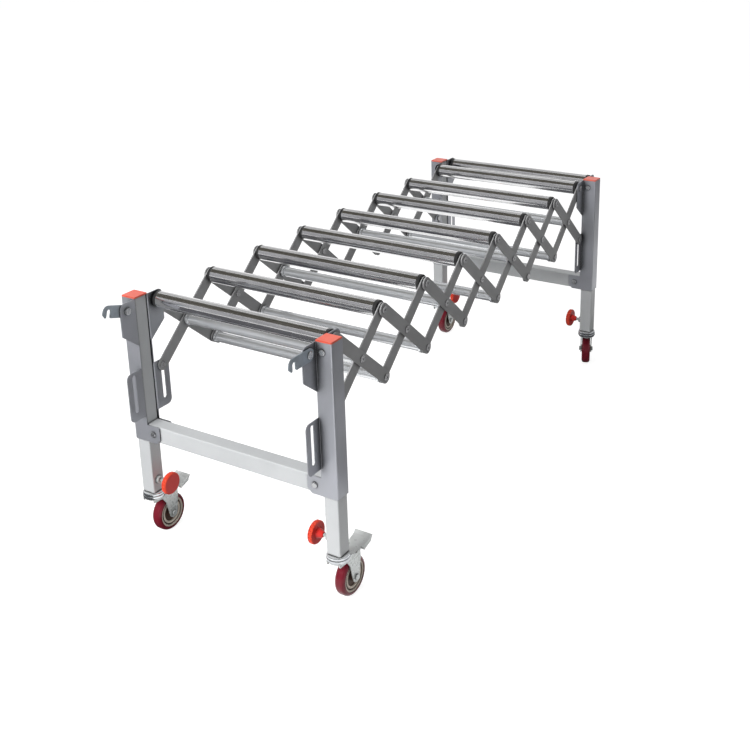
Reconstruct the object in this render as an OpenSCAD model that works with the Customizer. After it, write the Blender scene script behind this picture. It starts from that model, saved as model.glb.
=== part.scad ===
// Expanding roller stand: two end frames on swivel casters, joined by scissor arms that carry steel rollers.
// The stand is drawn pulled out to its full length, with its legs retracted.
// X runs along the rollers, Y along the stand with the hooked end at -Y, and Z up from the floor.

/* [Stand] */
// Width across the outer faces of the legs
stand_w = 560; // [440:5:760]
// Number of scissor units between the end frames
units = 7; // [3:1:7]
// Height of the roller axles above the floor
axle_z = 588.5; // [570:0.5:640]

/* [Scissor] */
// Length of a scissor arm between its end pivots
arm_len = 242; // [236:1:250]
// Angle of the arms above the horizontal when the stand is pulled out
open_angle = 41; // [38:0.5:46]
// Angle of the arms when the stand is pushed together
folded_angle = 79.5; // [74:0.5:79.5]
// Width of an arm
arm_w = 30; // [26:1:32]
// Thickness of an arm
arm_t = 3; // [2.5:0.1:3.4]
// Diameter of the axles, rivets and slot pins
pin_d = 10; // [8:0.5:11]
// Diameter of the heads on the axles and rivets
head_d = 16; // [14:0.5:20]
// Height of the heads
head_h = 3; // [2:0.5:4]

/* [Rollers] */
// Outer diameter of a roller
roller_d = 38; // [34:1:40]
// Wall of a roller tube
roller_wall = 1.5; // [1:0.1:2.5]
// Length of the plastic flange at each end of a roller
roller_end_l = 8; // [6:0.5:12]
// Depth that the end plug reaches into the roller tube
roller_plug_l = 14; // [8:1:20]

/* [Cross tubes] */
// Outer diameter of the tubes that tie the two scissor sides together
cross_d = 25; // [20:1:27]
// Wall of a cross tube
cross_wall = 1.5; // [1:0.1:2]
// Outer diameter of the collars on the cross tubes
collar_d = 30; // [28:1:34]
// Length of a collar
collar_l = 9; // [6:1:16]

/* [Legs] */
// Outer size of the folded channel on each leg
channel_w = 40; // [36:1:46]
// Sheet thickness of the channel and its tabs
sheet = 2; // [1.6:0.1:2.4]
// Height of the channel's top edge above the roller axles
channel_over = 19.5; // [15:0.5:24]
// Height of the channel's lower edge
channel_bottom = 262; // [230:1:270]
// Height of the leg tube's lower end
tube_bottom = 126; // [120:1:132]
// Wall of the leg tube
tube_wall = 1.5; // [1.2:0.1:2]
// Length of the leg that slides inside the leg tube
inner_leg_l = 380; // [340:5:400]
// Wall of the sliding leg
inner_wall = 1.5; // [1.2:0.1:2]
// Thickness of the plastic cap above the leg
cap_t = 3; // [2:0.5:5]

/* [Tabs] */
// Distance from the channel to the pivot that a tab carries
tab_pin = 25; // [22:0.5:27]
// How far a tab stands out from the channel
tab_reach = 45; // [40:1:50]
// Height of an upper tab along the channel
upper_tab_h = 110; // [80:1:120]
// Rise of an upper tab's slanted lower edge
upper_tab_slant = 36; // [20:1:40]
// Rounding of an upper tab's outer corner
upper_tab_r = 13; // [8:1:18]
// Rounding of a slotted tab's outer corners
slot_tab_r = 12; // [8:1:16]
// Material above a slot
slot_over = 6; // [4:0.5:10]
// Material below a slot
slot_under = 19; // [12:1:24]

/* [Crossbars] */
// Height of a crossbar's section
bar_h = 40; // [32:1:42]
// Height of a crossbar's lower face above the channel's lower edge
bar_rise = 2; // [1:0.5:5]
// Wall of a crossbar
bar_wall = 1.5; // [1.2:0.1:2.5]
// How far the gusset plates reach inward over a crossbar
gusset_reach = 36; // [30:1:60]
// Chamfer on a gusset's lower corner
gusset_cut = 11; // [6:1:18]

/* [Knobs] */
// Diameter of a leg knob
knob_d = 52; // [40:1:52]
// Thickness of a knob's rim
knob_t = 12; // [8:0.5:14]
// Height of a knob's centre above the leg tube's lower end
knob_rise = 29; // [28:0.5:40]
// Number of grip flutes round a knob
knob_flutes = 20; // [12:1:24]

/* [Casters] */
// Diameter of a caster wheel
wheel_d = 90; // [84:1:94]
// Width of a tyre
tyre_w = 25; // [22:1:26]
// Distance of the wheel's axle behind the swivel axis
trail = 40; // [34:1:44]
// Turn of the far right caster about its swivel axis
far_right_turn = 22; // [0:1:40]
// Width of a brake pedal
pedal_w = 32; // [26:1:34]

/* [Hooks] */
// Distance from a hook's pivot to the middle of its mouth
hook_reach = 51; // [46:0.5:56]
// Width of a hook's mouth
hook_mouth = 11; // [10.5:0.5:12]
// How far the left hook is swung up
left_hook_turn = 17; // [0:1:40]

/* [Hidden] */
$fn = 48;

// Clearances
run_gap = 0.05;
face_gap = 0.1;
side_gap = 0.5;
slide_gap = 0.3;
slot_gap = 0.2;
cut = 1;

// Scissor geometry
channel_top = axle_z + channel_over;
pitch = arm_len * cos(open_angle);
drop = arm_len * sin(open_angle);
folded_drop = arm_len * sin(folded_angle);
low_z = axle_z - drop;
mid_z = axle_z - drop / 2;
pin_r = pin_d / 2;
bore_r = pin_r + run_gap;
washer_d = 20;
end_ring_d = 16;
end_chamfer = 1;
stud_reach = 7.5;
stud_d = 9.6;
slot_head_h = 1.5;

// Layers across the stand, measured outward from the middle
leg_out = stand_w / 2;
leg_in = leg_out - channel_w;
leg_x = leg_out - channel_w / 2;
tab_in = leg_in;
tab_out = tab_in + sheet;
inner_arm_out = tab_in - side_gap;
inner_arm_in = inner_arm_out - arm_t;
outer_arm_in = tab_out + side_gap;
outer_arm_out = outer_arm_in + arm_t;
roller_gap = 2.5;
roller_out = inner_arm_in - roller_gap;
recess_l = 2.7;
recess_rim = 3;
recess_hub = 1.5;
collar_step = 3;

// Places along the stand, before it is centred on its own box
leg_y = units * pitch / 2 + tab_pin + channel_w / 2;
first_y = -units * pitch / 2;
hook_nose = 16;
near_end = leg_y + channel_w / 2 + tab_pin + hook_reach + hook_nose;
far_end = leg_y + trail + wheel_d / 2;
stand_y = (near_end - far_end) / 2;

// Legs
channel_inner_w = channel_w - 2 * sheet;
tube_gap = 0.6;
tube_w = channel_inner_w - 2 * tube_gap;
tube_face = leg_x - tube_w / 2;
tube_inner_w = tube_w - 2 * tube_wall;
inner_leg_w = tube_inner_w - 2 * slide_gap;
inner_leg_below = 2;
inner_leg_bottom = tube_bottom - inner_leg_below;
bend_r = 3;
bend_inner_r = 1;
tube_corner_r = 3;
cap_edge = 1.2;
cap_plug_l = 15;
cap_plug_gap = 0.2;
cap_plug_wall = 2.5;
frame_bolt_r = 4;
frame_bolt_head_d = 14;
frame_bolt_head_h = 3.5;
frame_nut_d = 15;
frame_nut_h = 6;
frame_bolt_tail = 3;
top_bolt_drop = 21;
top_bolt_shift = 2.5;
top_bolt_x = leg_x - top_bolt_shift;
flange_y = channel_w / 2;
slot_r = pin_r + slot_gap;
slot_top_play = 1;
slot_low_play = 0.5;
slot_top_z = low_z + slot_top_play;
slot_bottom_z = axle_z - folded_drop - slot_low_play;
upper_tab_bottom = channel_top - upper_tab_h;
slot_tab_low = slot_bottom_z - slot_r - slot_under;
slot_tab_high = slot_top_z + slot_r + slot_over;
corner_steps = 6;

// Crossbars
bar_z = channel_bottom + bar_rise;
bar_depth = tube_w;
bar_corner_r = 3;
bar_half = tube_face - slide_gap;
bar_bolt_shift = 1;
bar_bolt_x = leg_in - gusset_reach / 2 + bar_bolt_shift;
bar_bolt_z = bar_z + bar_h / 2;

// Knobs
knob_z = tube_bottom + knob_rise;
knob_stand_off = 44;
knob_face_x = tube_face - knob_stand_off;
knob_hub_l = 15;
knob_hub_d = 18;
knob_stem_d = 8;
knob_crown = 2.5;
knob_edge = 3;
flute_d = 5.4;
flute_depth = 1.6;
bush_d = 18;
bush_l = 8;
stem_bore_gap = 0.1;
clamp_gap = 0.2;
stem_tip_x = leg_x - inner_leg_w / 2 - clamp_gap;
bush_seat = 0.7;

// Casters
race_d = 50;
race_t = 6.5;
cup_d = 52;
cup_t = 8;
cup_lip = 2.5;
cup_band = 3;
crown_t = 3;
king_r = 6;
king_nut_d = 20;
king_nut_t = 7;
fork_inner = 29;
fork_t = 2.5;
fork_front = 20;
fork_back = 26;
fork_brow = 6;
fork_throat_y = 8;
fork_throat_drop = 8;
fork_shin_y = 19;
fork_shin_drop = 25;
fork_throat_r = 10;
fork_heel_y = 58;
fork_heel_z = 84;
fork_eye_r = 12;
axle_r = 4;
axle_head_d = 13;
axle_head_h = 4;
wheel_r = wheel_d / 2;
race_bottom = inner_leg_bottom - race_t;
cup_top = race_bottom - slide_gap;
cup_bottom = cup_top - cup_t;
crown_bottom = cup_bottom - crown_t;
hub_r = 36;
hub_rim_in = 32;
hub_rim_w = 22;
hub_step_in = 28;
hub_step_w = 15;
hub_band_in = 23;
hub_band_w = 19;
hub_web_w = 13;
hub_core_r = 11;
hub_play = 0.5;
hub_core_w = fork_inner - 2 * hub_play;
tyre_round = 8;

// Brake pedals, measured from the swivel axis and the floor
pedal_y = 50;
pedal_z = 96;
pedal_pin_r = 3;
pedal_t = 2.5;
pedal_ear_r = 6.5;
pedal_ear_t = 2.4;
pedal_side = 0.4;
pedal_root_y = 36;
pedal_root_z = 100;
pedal_knee_y = 66;
pedal_knee_z = 102;
pedal_tip_y = 93;
pedal_tip_z = 110;
pedal_lip_y = 100;
pedal_lip_z = 119;
pedal_skirt = 4;
pedal_bend_r = 5;
pedal_edge_r = 1;
pedal_eye_r = 8;
shoe_y = 56;
shoe_z = 89.2;
shoe_w = 4;

// Hooks, measured from the pivot
hook_end_r = 14;
hook_nose_r = 15;
hook_side_low = 7;
hook_side_r = 5;
hook_lead = 2.5;
hook_heel = 20;
hook_bolt_nut_t = 5;

sides = ["left", "right"];
ends = ["near", "far"];
corners = [for (e = ends) for (s = sides) str(e, "_", s)];
tube_units = [for (i = [1:2:units]) i];
frame_nodes = [for (e = ends) for (p = ["uprights", "leg_tubes", "crossbar", "leg_caps"]) str(e, "_", p)];
corner_parts = ["inner_leg", "leg_knob", "caster_fork", "caster_hub", "caster_tyre"];

// Points of an outline whose corners are rounded, each by its own radius
function unit(v) = v / norm(v);
function corner_points(a, b, c, r) =
    r <= 0 ? [b] :
    let (
        u = unit(a - b),
        w = unit(c - b),
        half = acos(max(-1, min(1, u * w))) / 2,
        middle = b + unit(u + w) * r / sin(half),
        start = b + u * r / tan(half) - middle,
        finish = b + w * r / tan(half) - middle,
        from = atan2(start[1], start[0]),
        raw = atan2(finish[1], finish[0]) - from,
        sweep = raw > 180 ? raw - 360 : raw < -180 ? raw + 360 : raw
    )
    [for (k = [0:corner_steps])
        let (turn = from + sweep * k / corner_steps)
        middle + r * [cos(turn), sin(turn)]];
function rounded(points, radii) =
    let (n = len(points))
    [for (i = [0:n - 1])
        each corner_points(points[(i + n - 1) % n], points[i], points[(i + 1) % n], radii[i])];

// Placing helpers
module both_sides() {
    children();
    mirror([1, 0, 0]) children();
}

module at_end(e) {
    translate([0, stand_y + (e == "near" ? -leg_y : leg_y), 0]) children();
}

module at_corner(c) {
    is_left = c == "near_left" || c == "far_left";
    is_near = c == "near_left" || c == "near_right";
    at_end(is_near ? "near" : "far") mirror([is_left ? 1 : 0, 0, 0]) children();
}

// A cylinder along X between two distances from the middle
module bar_x(from_x, to_x, d) {
    translate([from_x, 0, 0]) rotate([0, 90, 0]) cylinder(h = to_x - from_x, d = d);
}

// A domed head along X whose flat side is at the given distance
module head_x(at_x, d, h) {
    translate([at_x, 0, 0]) rotate([0, 90, 0]) rotate_extrude() {
        square([d / 2 - h / 2, h]);
        square([d / 2, h / 2]);
        translate([d / 2 - h / 2, h / 2]) circle(r = h / 2);
    }
}

// A plate in the YZ plane between two distances from the middle
module plate_x(from_x, to_x) {
    translate([from_x, 0, 0]) rotate([90, 0, 90]) linear_extrude(height = to_x - from_x) children();
}

module rounded_square(w, h, r) {
    polygon(rounded([[-w / 2, -h / 2], [w / 2, -h / 2], [w / 2, h / 2], [-w / 2, h / 2]], [r, r, r, r]));
}

// Outline of the folded channel in plan, open towards the middle of the stand
module channel_outline() {
    difference() {
        polygon(rounded(
            [[leg_in, -channel_w / 2], [leg_out, -channel_w / 2],
             [leg_out, channel_w / 2], [leg_in, channel_w / 2]],
            [0, bend_r, bend_r, 0]));
        polygon(rounded(
            [[leg_in - cut, -channel_inner_w / 2], [leg_out - sheet, -channel_inner_w / 2],
             [leg_out - sheet, channel_inner_w / 2], [leg_in - cut, channel_inner_w / 2]],
            [0, bend_inner_r, bend_inner_r, 0]));
    }
}

// Outlines of the tabs: the first number is the distance out from the channel, the second the height
module upper_tab_outline() {
    difference() {
        polygon(rounded(
            [[-sheet, upper_tab_bottom], [0, upper_tab_bottom],
             [tab_reach, upper_tab_bottom + upper_tab_slant],
             [tab_reach, channel_top], [-sheet, channel_top]],
            [0, bend_r, bend_r, upper_tab_r, 0]));
        translate([tab_pin, axle_z]) circle(r = bore_r);
    }
}

module slotted_tab_outline() {
    difference() {
        polygon(rounded(
            [[-sheet, slot_tab_low], [tab_reach, slot_tab_low],
             [tab_reach, slot_tab_high], [-sheet, slot_tab_high]],
            [0, slot_tab_r, slot_tab_r, 0]));
        translate([tab_pin, slot_top_z]) circle(r = slot_r);
        translate([tab_pin, slot_bottom_z]) circle(r = slot_r);
        translate([tab_pin - slot_r, slot_bottom_z]) square([2 * slot_r, slot_top_z - slot_bottom_z]);
    }
}

// A gusset plate, which is the flange carried inward over the crossbar
module gusset_outline() {
    inner = leg_in - gusset_reach;
    high = bar_z + bar_h;
    polygon(rounded(
        [[leg_in, channel_bottom], [leg_in, high], [inner, high],
         [inner, channel_bottom + gusset_cut], [inner + gusset_cut, channel_bottom]],
        [0, 0, bend_r, bend_r, bend_r]));
}

// What rounds the outside of the bend between a flange and its tab
module bend_outside(low, high) {
    translate([0, 0, low]) linear_extrude(height = high - low) difference() {
        translate([leg_in - cut, flange_y - sheet - cut]) square(bend_r + cut);
        translate([leg_in + bend_r, flange_y - sheet + bend_r]) circle(r = bend_r);
    }
}

// What fills the inside of that bend
module bend_inside(low, high) {
    translate([0, 0, low]) linear_extrude(height = high - low) difference() {
        translate([tab_out, flange_y]) square(bend_inner_r);
        translate([tab_out + bend_inner_r, flange_y + bend_inner_r]) circle(r = bend_inner_r);
    }
}

// The right upright: channel, gussets and four tabs in one folded sheet
module upright() {
    difference() {
        union() {
            translate([0, 0, channel_bottom])
                linear_extrude(height = channel_top - channel_bottom) channel_outline();
            for (f = [0, 1]) mirror([0, f, 0]) {
                translate([0, flange_y, 0]) rotate([90, 0, 0])
                    linear_extrude(height = sheet) gusset_outline();
                translate([0, flange_y, 0]) plate_x(tab_in, tab_out) upper_tab_outline();
                translate([0, flange_y, 0]) plate_x(tab_in, tab_out) slotted_tab_outline();
                bend_inside(upper_tab_bottom, channel_top);
                bend_inside(slot_tab_low, slot_tab_high);
            }
        }
        for (f = [0, 1]) mirror([0, f, 0]) {
            bend_outside(upper_tab_bottom, channel_top + cut);
            bend_outside(slot_tab_low, slot_tab_high);
            translate([top_bolt_x, flange_y + cut, channel_top - top_bolt_drop]) rotate([90, 0, 0])
                cylinder(h = sheet + 2 * cut, r = frame_bolt_r + run_gap);
            translate([bar_bolt_x, flange_y + cut, bar_bolt_z]) rotate([90, 0, 0])
                cylinder(h = sheet + 2 * cut, r = frame_bolt_r + run_gap);
        }
    }
}

// A bolt along Y through both flanges, with its head at the front and a nut at the back
module frame_bolt(x, z) {
    half = channel_w / 2;
    grip = channel_w + 2 * face_gap;
    translate([x, -half - face_gap, z]) rotate([90, 0, 0]) {
        translate([0, 0, -grip - frame_nut_h - frame_bolt_tail])
            cylinder(h = grip + frame_nut_h + frame_bolt_tail, r = frame_bolt_r);
        rotate_extrude() {
            square([frame_bolt_head_d / 2 - frame_bolt_head_h / 2, frame_bolt_head_h]);
            square([frame_bolt_head_d / 2, frame_bolt_head_h / 2]);
            translate([frame_bolt_head_d / 2 - frame_bolt_head_h / 2, frame_bolt_head_h / 2])
                circle(r = frame_bolt_head_h / 2);
        }
        translate([0, 0, -grip - frame_nut_h]) cylinder(h = frame_nut_h, d = frame_nut_d, $fn = 6);
    }
}

// The bolt that a coupling hook turns on, fixed in the front upper tab
module hook_bolt() {
    translate([0, -channel_w / 2 - tab_pin, axle_z]) {
        bar_x(tab_in - hook_bolt_nut_t, outer_arm_out + face_gap, pin_d);
        bar_x(tab_in - hook_bolt_nut_t, tab_in - face_gap, end_ring_d);
        head_x(outer_arm_out + face_gap, head_d, head_h);
    }
}

module uprights(e) {
    color([0.55, 0.56, 0.58]) at_end(e) both_sides() upright();
    color("silver") at_end(e) both_sides() {
        frame_bolt(top_bolt_x, channel_top - top_bolt_drop);
        if (e == "near") hook_bolt();
    }
}

// The leg tube with the threaded bush for its knob
module leg_tube() {
    difference() {
        union() {
            translate([leg_x, 0, tube_bottom]) linear_extrude(height = channel_top - tube_bottom)
                rounded_square(tube_w, tube_w, tube_corner_r);
            translate([0, 0, knob_z]) bar_x(tube_face - bush_l, tube_face + bush_seat, bush_d);
        }
        translate([leg_x, 0, tube_bottom - cut]) linear_extrude(height = channel_top - tube_bottom + 2 * cut)
            rounded_square(tube_inner_w, tube_inner_w, tube_corner_r - tube_wall);
        translate([0, 0, knob_z])
            bar_x(tube_face - bush_l - cut, tube_face + tube_wall + cut, knob_stem_d + 2 * stem_bore_gap);
        translate([top_bolt_x, channel_w / 2, channel_top - top_bolt_drop]) rotate([90, 0, 0])
            cylinder(h = channel_w, r = frame_bolt_r + run_gap);
    }
}

module leg_tubes(e) {
    color([0.8, 0.81, 0.83]) at_end(e) both_sides() leg_tube();
}

// The square tube between the gussets, with its two bolts
module crossbar(e) {
    color([0.78, 0.8, 0.82]) at_end(e) difference() {
        translate([-bar_half, 0, bar_z + bar_h / 2]) rotate([90, 0, 90])
            linear_extrude(height = 2 * bar_half) difference() {
                rounded_square(bar_depth, bar_h, bar_corner_r);
                rounded_square(bar_depth - 2 * bar_wall, bar_h - 2 * bar_wall, bar_corner_r - bar_wall);
            }
        both_sides() translate([bar_bolt_x, bar_depth / 2 + cut, bar_bolt_z]) rotate([90, 0, 0])
            cylinder(h = bar_depth + 2 * cut, r = frame_bolt_r + run_gap);
    }
    color("silver") at_end(e) both_sides() frame_bolt(bar_bolt_x, bar_bolt_z);
}

// The plastic plug that closes a leg at the top
module leg_cap() {
    plug_w = tube_inner_w - 2 * cap_plug_gap;
    translate([leg_x, 0, channel_top]) {
        linear_extrude(height = cap_t - cap_edge) rounded_square(channel_w, channel_w, bend_r);
        translate([0, 0, cap_t - cap_edge]) linear_extrude(height = cap_edge)
            rounded_square(channel_w - 2 * cap_edge, channel_w - 2 * cap_edge, bend_r - cap_edge);
        translate([0, 0, -cap_plug_l]) linear_extrude(height = cap_plug_l) difference() {
            rounded_square(plug_w, plug_w, tube_corner_r - tube_wall);
            rounded_square(plug_w - 2 * cap_plug_wall, plug_w - 2 * cap_plug_wall, 0);
        }
    }
}

module leg_caps(e) {
    color([0.93, 0.35, 0.27]) at_end(e) both_sides() leg_cap();
}

// The axle of the last roller, whose ends stand out as studs for another stand's hooks
module far_roller_axle() {
    stud_x = outer_arm_out + stud_reach;
    color("silver") at_end("far") translate([0, channel_w / 2 + tab_pin, axle_z]) both_sides() {
        bar_x(0, outer_arm_in, pin_d);
        bar_x(outer_arm_in, stud_x - end_chamfer, stud_d);
        translate([stud_x - end_chamfer, 0, 0]) rotate([0, 90, 0])
            cylinder(h = end_chamfer, d1 = stud_d, d2 = stud_d - 2 * end_chamfer);
        bar_x(roller_out + slide_gap, tab_in - face_gap, end_ring_d);
    }
}

// A coupling hook: round at its pivot, with a mouth that drops over a stud
module coupling_hook(s) {
    mouth_in = hook_reach - hook_mouth / 2;
    mouth_out = hook_reach + hook_mouth / 2;
    nose = hook_reach + hook_nose;
    turn = s == "left" ? left_hook_turn : 0;
    color([0.5, 0.53, 0.58]) at_end("near") mirror([s == "left" ? 1 : 0, 0, 0])
        translate([0, -channel_w / 2 - tab_pin, axle_z]) mirror([0, 1, 0])
            plate_x(outer_arm_in, outer_arm_out) rotate(turn) difference() {
                union() {
                    circle(r = hook_end_r);
                    translate([0, -hook_end_r]) square([hook_heel, 2 * hook_end_r]);
                    polygon(rounded(
                        [[hook_heel - cut, hook_end_r], [hook_heel - cut, -hook_end_r],
                         [mouth_in - hook_lead, -hook_end_r], [mouth_in, hook_lead - hook_end_r],
                         [mouth_in, -pin_r], [mouth_out, -pin_r], [mouth_out, hook_lead - hook_end_r],
                         [mouth_out + hook_lead, -hook_end_r], [nose, -hook_side_low],
                         [nose, hook_end_r]],
                        [0, 0, 0, 0, 0, 0, 0, 0, hook_side_r, hook_nose_r]));
                }
                translate([hook_reach, 0]) circle(d = hook_mouth);
                translate([mouth_in, -pin_r - cut]) square([hook_mouth, pin_r + cut]);
                circle(r = bore_r);
            }
}

// A scissor arm on one side: round ends, and holes at its ends and middle
module arm(from_x, to_x, lean) {
    plate_x(from_x, to_x) rotate(lean) difference() {
        union() {
            translate([-arm_len / 2, -arm_w / 2]) square([arm_len, arm_w]);
            for (x = [-arm_len / 2, arm_len / 2]) translate([x, 0]) circle(d = arm_w);
        }
        for (x = [-arm_len / 2, 0, arm_len / 2]) translate([x, 0]) circle(r = bore_r);
    }
}

// A rod or rivet from one distance to another, with a shoulder between the arm layers and an outer head
module pivot(from_x, head_at) {
    bar_x(from_x, head_at, pin_d);
    head_x(head_at, head_d, head_h);
}

module shoulder() {
    bar_x(inner_arm_out + face_gap, outer_arm_in - face_gap, washer_d);
}

module through_rod() {
    both_sides() {
        pivot(0, outer_arm_out + face_gap);
        shoulder();
    }
}

module rivets() {
    both_sides() {
        pivot(inner_arm_in - face_gap, outer_arm_out + face_gap);
        shoulder();
        mirror([1, 0, 0]) head_x(face_gap - inner_arm_in, head_d, head_h);
    }
}

// The axle that a roller turns on; the end frames' tabs stand in place of one arm at either end
module roller_axle(i) {
    both_sides() {
        pivot(0, (i == units + 1 ? tab_out + slide_gap : outer_arm_out + face_gap));
        bar_x(roller_out + slide_gap, (i == 1 ? tab_in : inner_arm_in) - face_gap, end_ring_d);
        if (i > 1 && i <= units) shoulder();
    }
}

module at_pivot(step, z) {
    translate([0, stand_y + first_y + step * pitch, z]) children();
}

// Arms that run from a roller down to the next low pivot; the first pair carries its own cross rods
module outer_arms(i) {
    color([0.47, 0.47, 0.48]) at_pivot(i - 0.5, mid_z) both_sides()
        arm(outer_arm_in, outer_arm_out, -open_angle);
    color("silver") {
        if (i == 1) {
            at_pivot(0, axle_z) roller_axle(1);
            at_pivot(0.5, mid_z) through_rod();
            at_pivot(1, low_z) through_rod();
        }
        if (i == units) at_pivot(units, low_z) both_sides() {
            pivot(tab_in - slide_gap, outer_arm_out + face_gap);
            mirror([1, 0, 0]) head_x(slide_gap - tab_in, head_d, head_h);
        }
    }
}

// Arms that run from a low pivot up to the next roller, with the roller's axle and the other rods or rivets
module inner_arms(i) {
    has_tubes = i % 2 == 1;
    color([0.44, 0.44, 0.45]) at_pivot(i - 0.5, mid_z) both_sides()
        arm(inner_arm_in, inner_arm_out, open_angle);
    color("silver") {
        at_pivot(i, axle_z) roller_axle(i + 1);
        if (i == 1) at_pivot(0, low_z) both_sides() {
            pivot(inner_arm_in - face_gap, tab_out + slide_gap);
            mirror([1, 0, 0]) head_x(face_gap - inner_arm_in, head_d, slot_head_h);
        }
        if (i > 1) at_pivot(i - 0.5, mid_z) if (has_tubes) through_rod(); else rivets();
        if (i > 2) at_pivot(i - 1, low_z) if (has_tubes) through_rod(); else rivets();
    }
}

// A tube with a collar at each end, on one of the rods
module cross_tube() {
    half = inner_arm_in - slide_gap;
    collar_in = half - collar_l;
    collar_out = half - collar_step;
    difference() {
        bar_x(-half, half, cross_d);
        bar_x(-half - cut, half + cut, cross_d - 2 * cross_wall);
    }
    both_sides() difference() {
        union() {
            bar_x(collar_in, half, cross_d - 2 * cross_wall);
            bar_x(collar_in, collar_out, collar_d);
        }
        bar_x(collar_in - cut, half + cut, pin_d + 2 * run_gap);
        difference() {
            bar_x(collar_in - cut, collar_out + cut, cross_d);
            bar_x(collar_in - 2 * cut, collar_out + 2 * cut, cross_d - 2 * cross_wall);
        }
    }
}

// The cross tubes of one unit, at its middle pivot and its low pivot
module cross_tubes(i) {
    color([0.8, 0.81, 0.8]) {
        at_pivot(i - 0.5, mid_z) cross_tube();
        at_pivot(i == 1 ? 1 : i - 1, low_z) cross_tube();
    }
}

// One roller: a steel tube with a plastic plug in each end
module roller_body() {
    tube_half = roller_out - roller_end_l;
    color([0.86, 0.86, 0.88]) difference() {
        bar_x(-tube_half, tube_half, roller_d);
        bar_x(-tube_half - cut, tube_half + cut, roller_d - 2 * roller_wall);
    }
    color([0.08, 0.08, 0.08]) both_sides() difference() {
        union() {
            bar_x(tube_half + face_gap, roller_out - end_chamfer, roller_d);
            translate([roller_out - end_chamfer, 0, 0]) rotate([0, 90, 0])
                cylinder(h = end_chamfer, d1 = roller_d, d2 = roller_d - 2 * end_chamfer);
            bar_x(tube_half - roller_plug_l, roller_out - recess_l,
                roller_d - 2 * roller_wall - 2 * run_gap);
        }
        bar_x(tube_half - roller_plug_l - cut, roller_out + cut, pin_d + 2 * run_gap);
        difference() {
            bar_x(roller_out - recess_l, roller_out + cut, roller_d - 2 * recess_rim);
            bar_x(roller_out - roller_end_l, roller_out + 2 * cut, end_ring_d + 2 * recess_hub);
        }
    }
}

module roller(i) {
    if (i <= units + 1) at_pivot(i - 1, axle_z) roller_body();
    if (i == units + 2) at_end("far") translate([0, channel_w / 2 + tab_pin, axle_z]) roller_body();
}

// The leg that slides in a leg tube, with the fixed race and king pin of its caster
module inner_leg(c) {
    color([0.75, 0.76, 0.78]) at_corner(c) translate([leg_x, 0, 0]) {
        translate([0, 0, inner_leg_bottom]) linear_extrude(height = inner_leg_l) difference() {
            rounded_square(inner_leg_w, inner_leg_w, tube_corner_r - tube_wall);
            rounded_square(inner_leg_w - 2 * inner_wall, inner_leg_w - 2 * inner_wall, 0);
        }
        rotate_extrude() {
            translate([0, race_bottom]) square([race_d / 2 - race_t / 2, race_t]);
            translate([0, race_bottom]) square([race_d / 2, race_t / 2]);
            translate([race_d / 2 - race_t / 2, race_bottom + race_t / 2]) circle(r = race_t / 2);
        }
        translate([0, 0, crown_bottom - king_nut_t]) {
            cylinder(h = race_bottom - crown_bottom + king_nut_t + cut, r = king_r);
            cylinder(h = king_nut_t - slide_gap, d = king_nut_d, $fn = 6);
        }
    }
}

// A knob that turns in the bush and clamps the sliding leg
module leg_knob(c) {
    rim_x = knob_face_x + knob_crown;
    back_x = knob_face_x + knob_t;
    color([0.85, 0.2, 0.17]) at_corner(c) translate([0, 0, knob_z]) {
        difference() {
            translate([knob_face_x, 0, 0]) rotate([0, 90, 0]) rotate_extrude() polygon(rounded(
                [[0, 0], [knob_d / 2 - knob_edge, 0], [knob_d / 2, knob_crown], [knob_d / 2, knob_t],
                 [knob_hub_d / 2 + knob_edge, knob_t], [knob_hub_d / 2 - knob_edge, knob_t + knob_hub_l],
                 [0, knob_t + knob_hub_l]],
                [0, knob_edge, knob_crown, knob_edge, 0, knob_crown, 0]));
            for (k = [1:knob_flutes]) rotate([k * 360 / knob_flutes, 0, 0])
                translate([rim_x, 0, knob_d / 2 + flute_d / 2 - flute_depth])
                    bar_x(0, knob_t + cut, flute_d);
        }
    }
    color("silver") at_corner(c) translate([0, 0, knob_z])
        bar_x(back_x + knob_hub_l, stem_tip_x, knob_stem_d);
}

// Place a caster piece at its corner, turned about the swivel axis
module at_caster(c) {
    at_corner(c) translate([leg_x, 0, 0]) rotate([0, 0, c == "far_right" ? far_right_turn : 0]) children();
}

module fork_plate_outline() {
    difference() {
        union() {
            polygon(rounded(
                [[-fork_front, crown_bottom + crown_t], [-fork_front, crown_bottom - fork_brow],
                 [fork_throat_y, crown_bottom - fork_throat_drop],
                 [fork_shin_y, crown_bottom - fork_shin_drop],
                 [trail - fork_eye_r, wheel_r], [trail + fork_eye_r, wheel_r],
                 [fork_heel_y, fork_heel_z], [fork_heel_y, pedal_z], [fork_back, crown_bottom + crown_t]],
                [0, fork_brow / 2, fork_throat_r, fork_throat_r, 0, 0, fork_throat_r, 0, 0]));
            translate([trail, wheel_r]) circle(r = fork_eye_r);
            translate([pedal_y, pedal_z]) circle(r = pedal_eye_r);
        }
        translate([trail, wheel_r]) circle(r = axle_r + run_gap);
        translate([pedal_y, pedal_z]) circle(r = pedal_pin_r + run_gap);
    }
}

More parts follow.
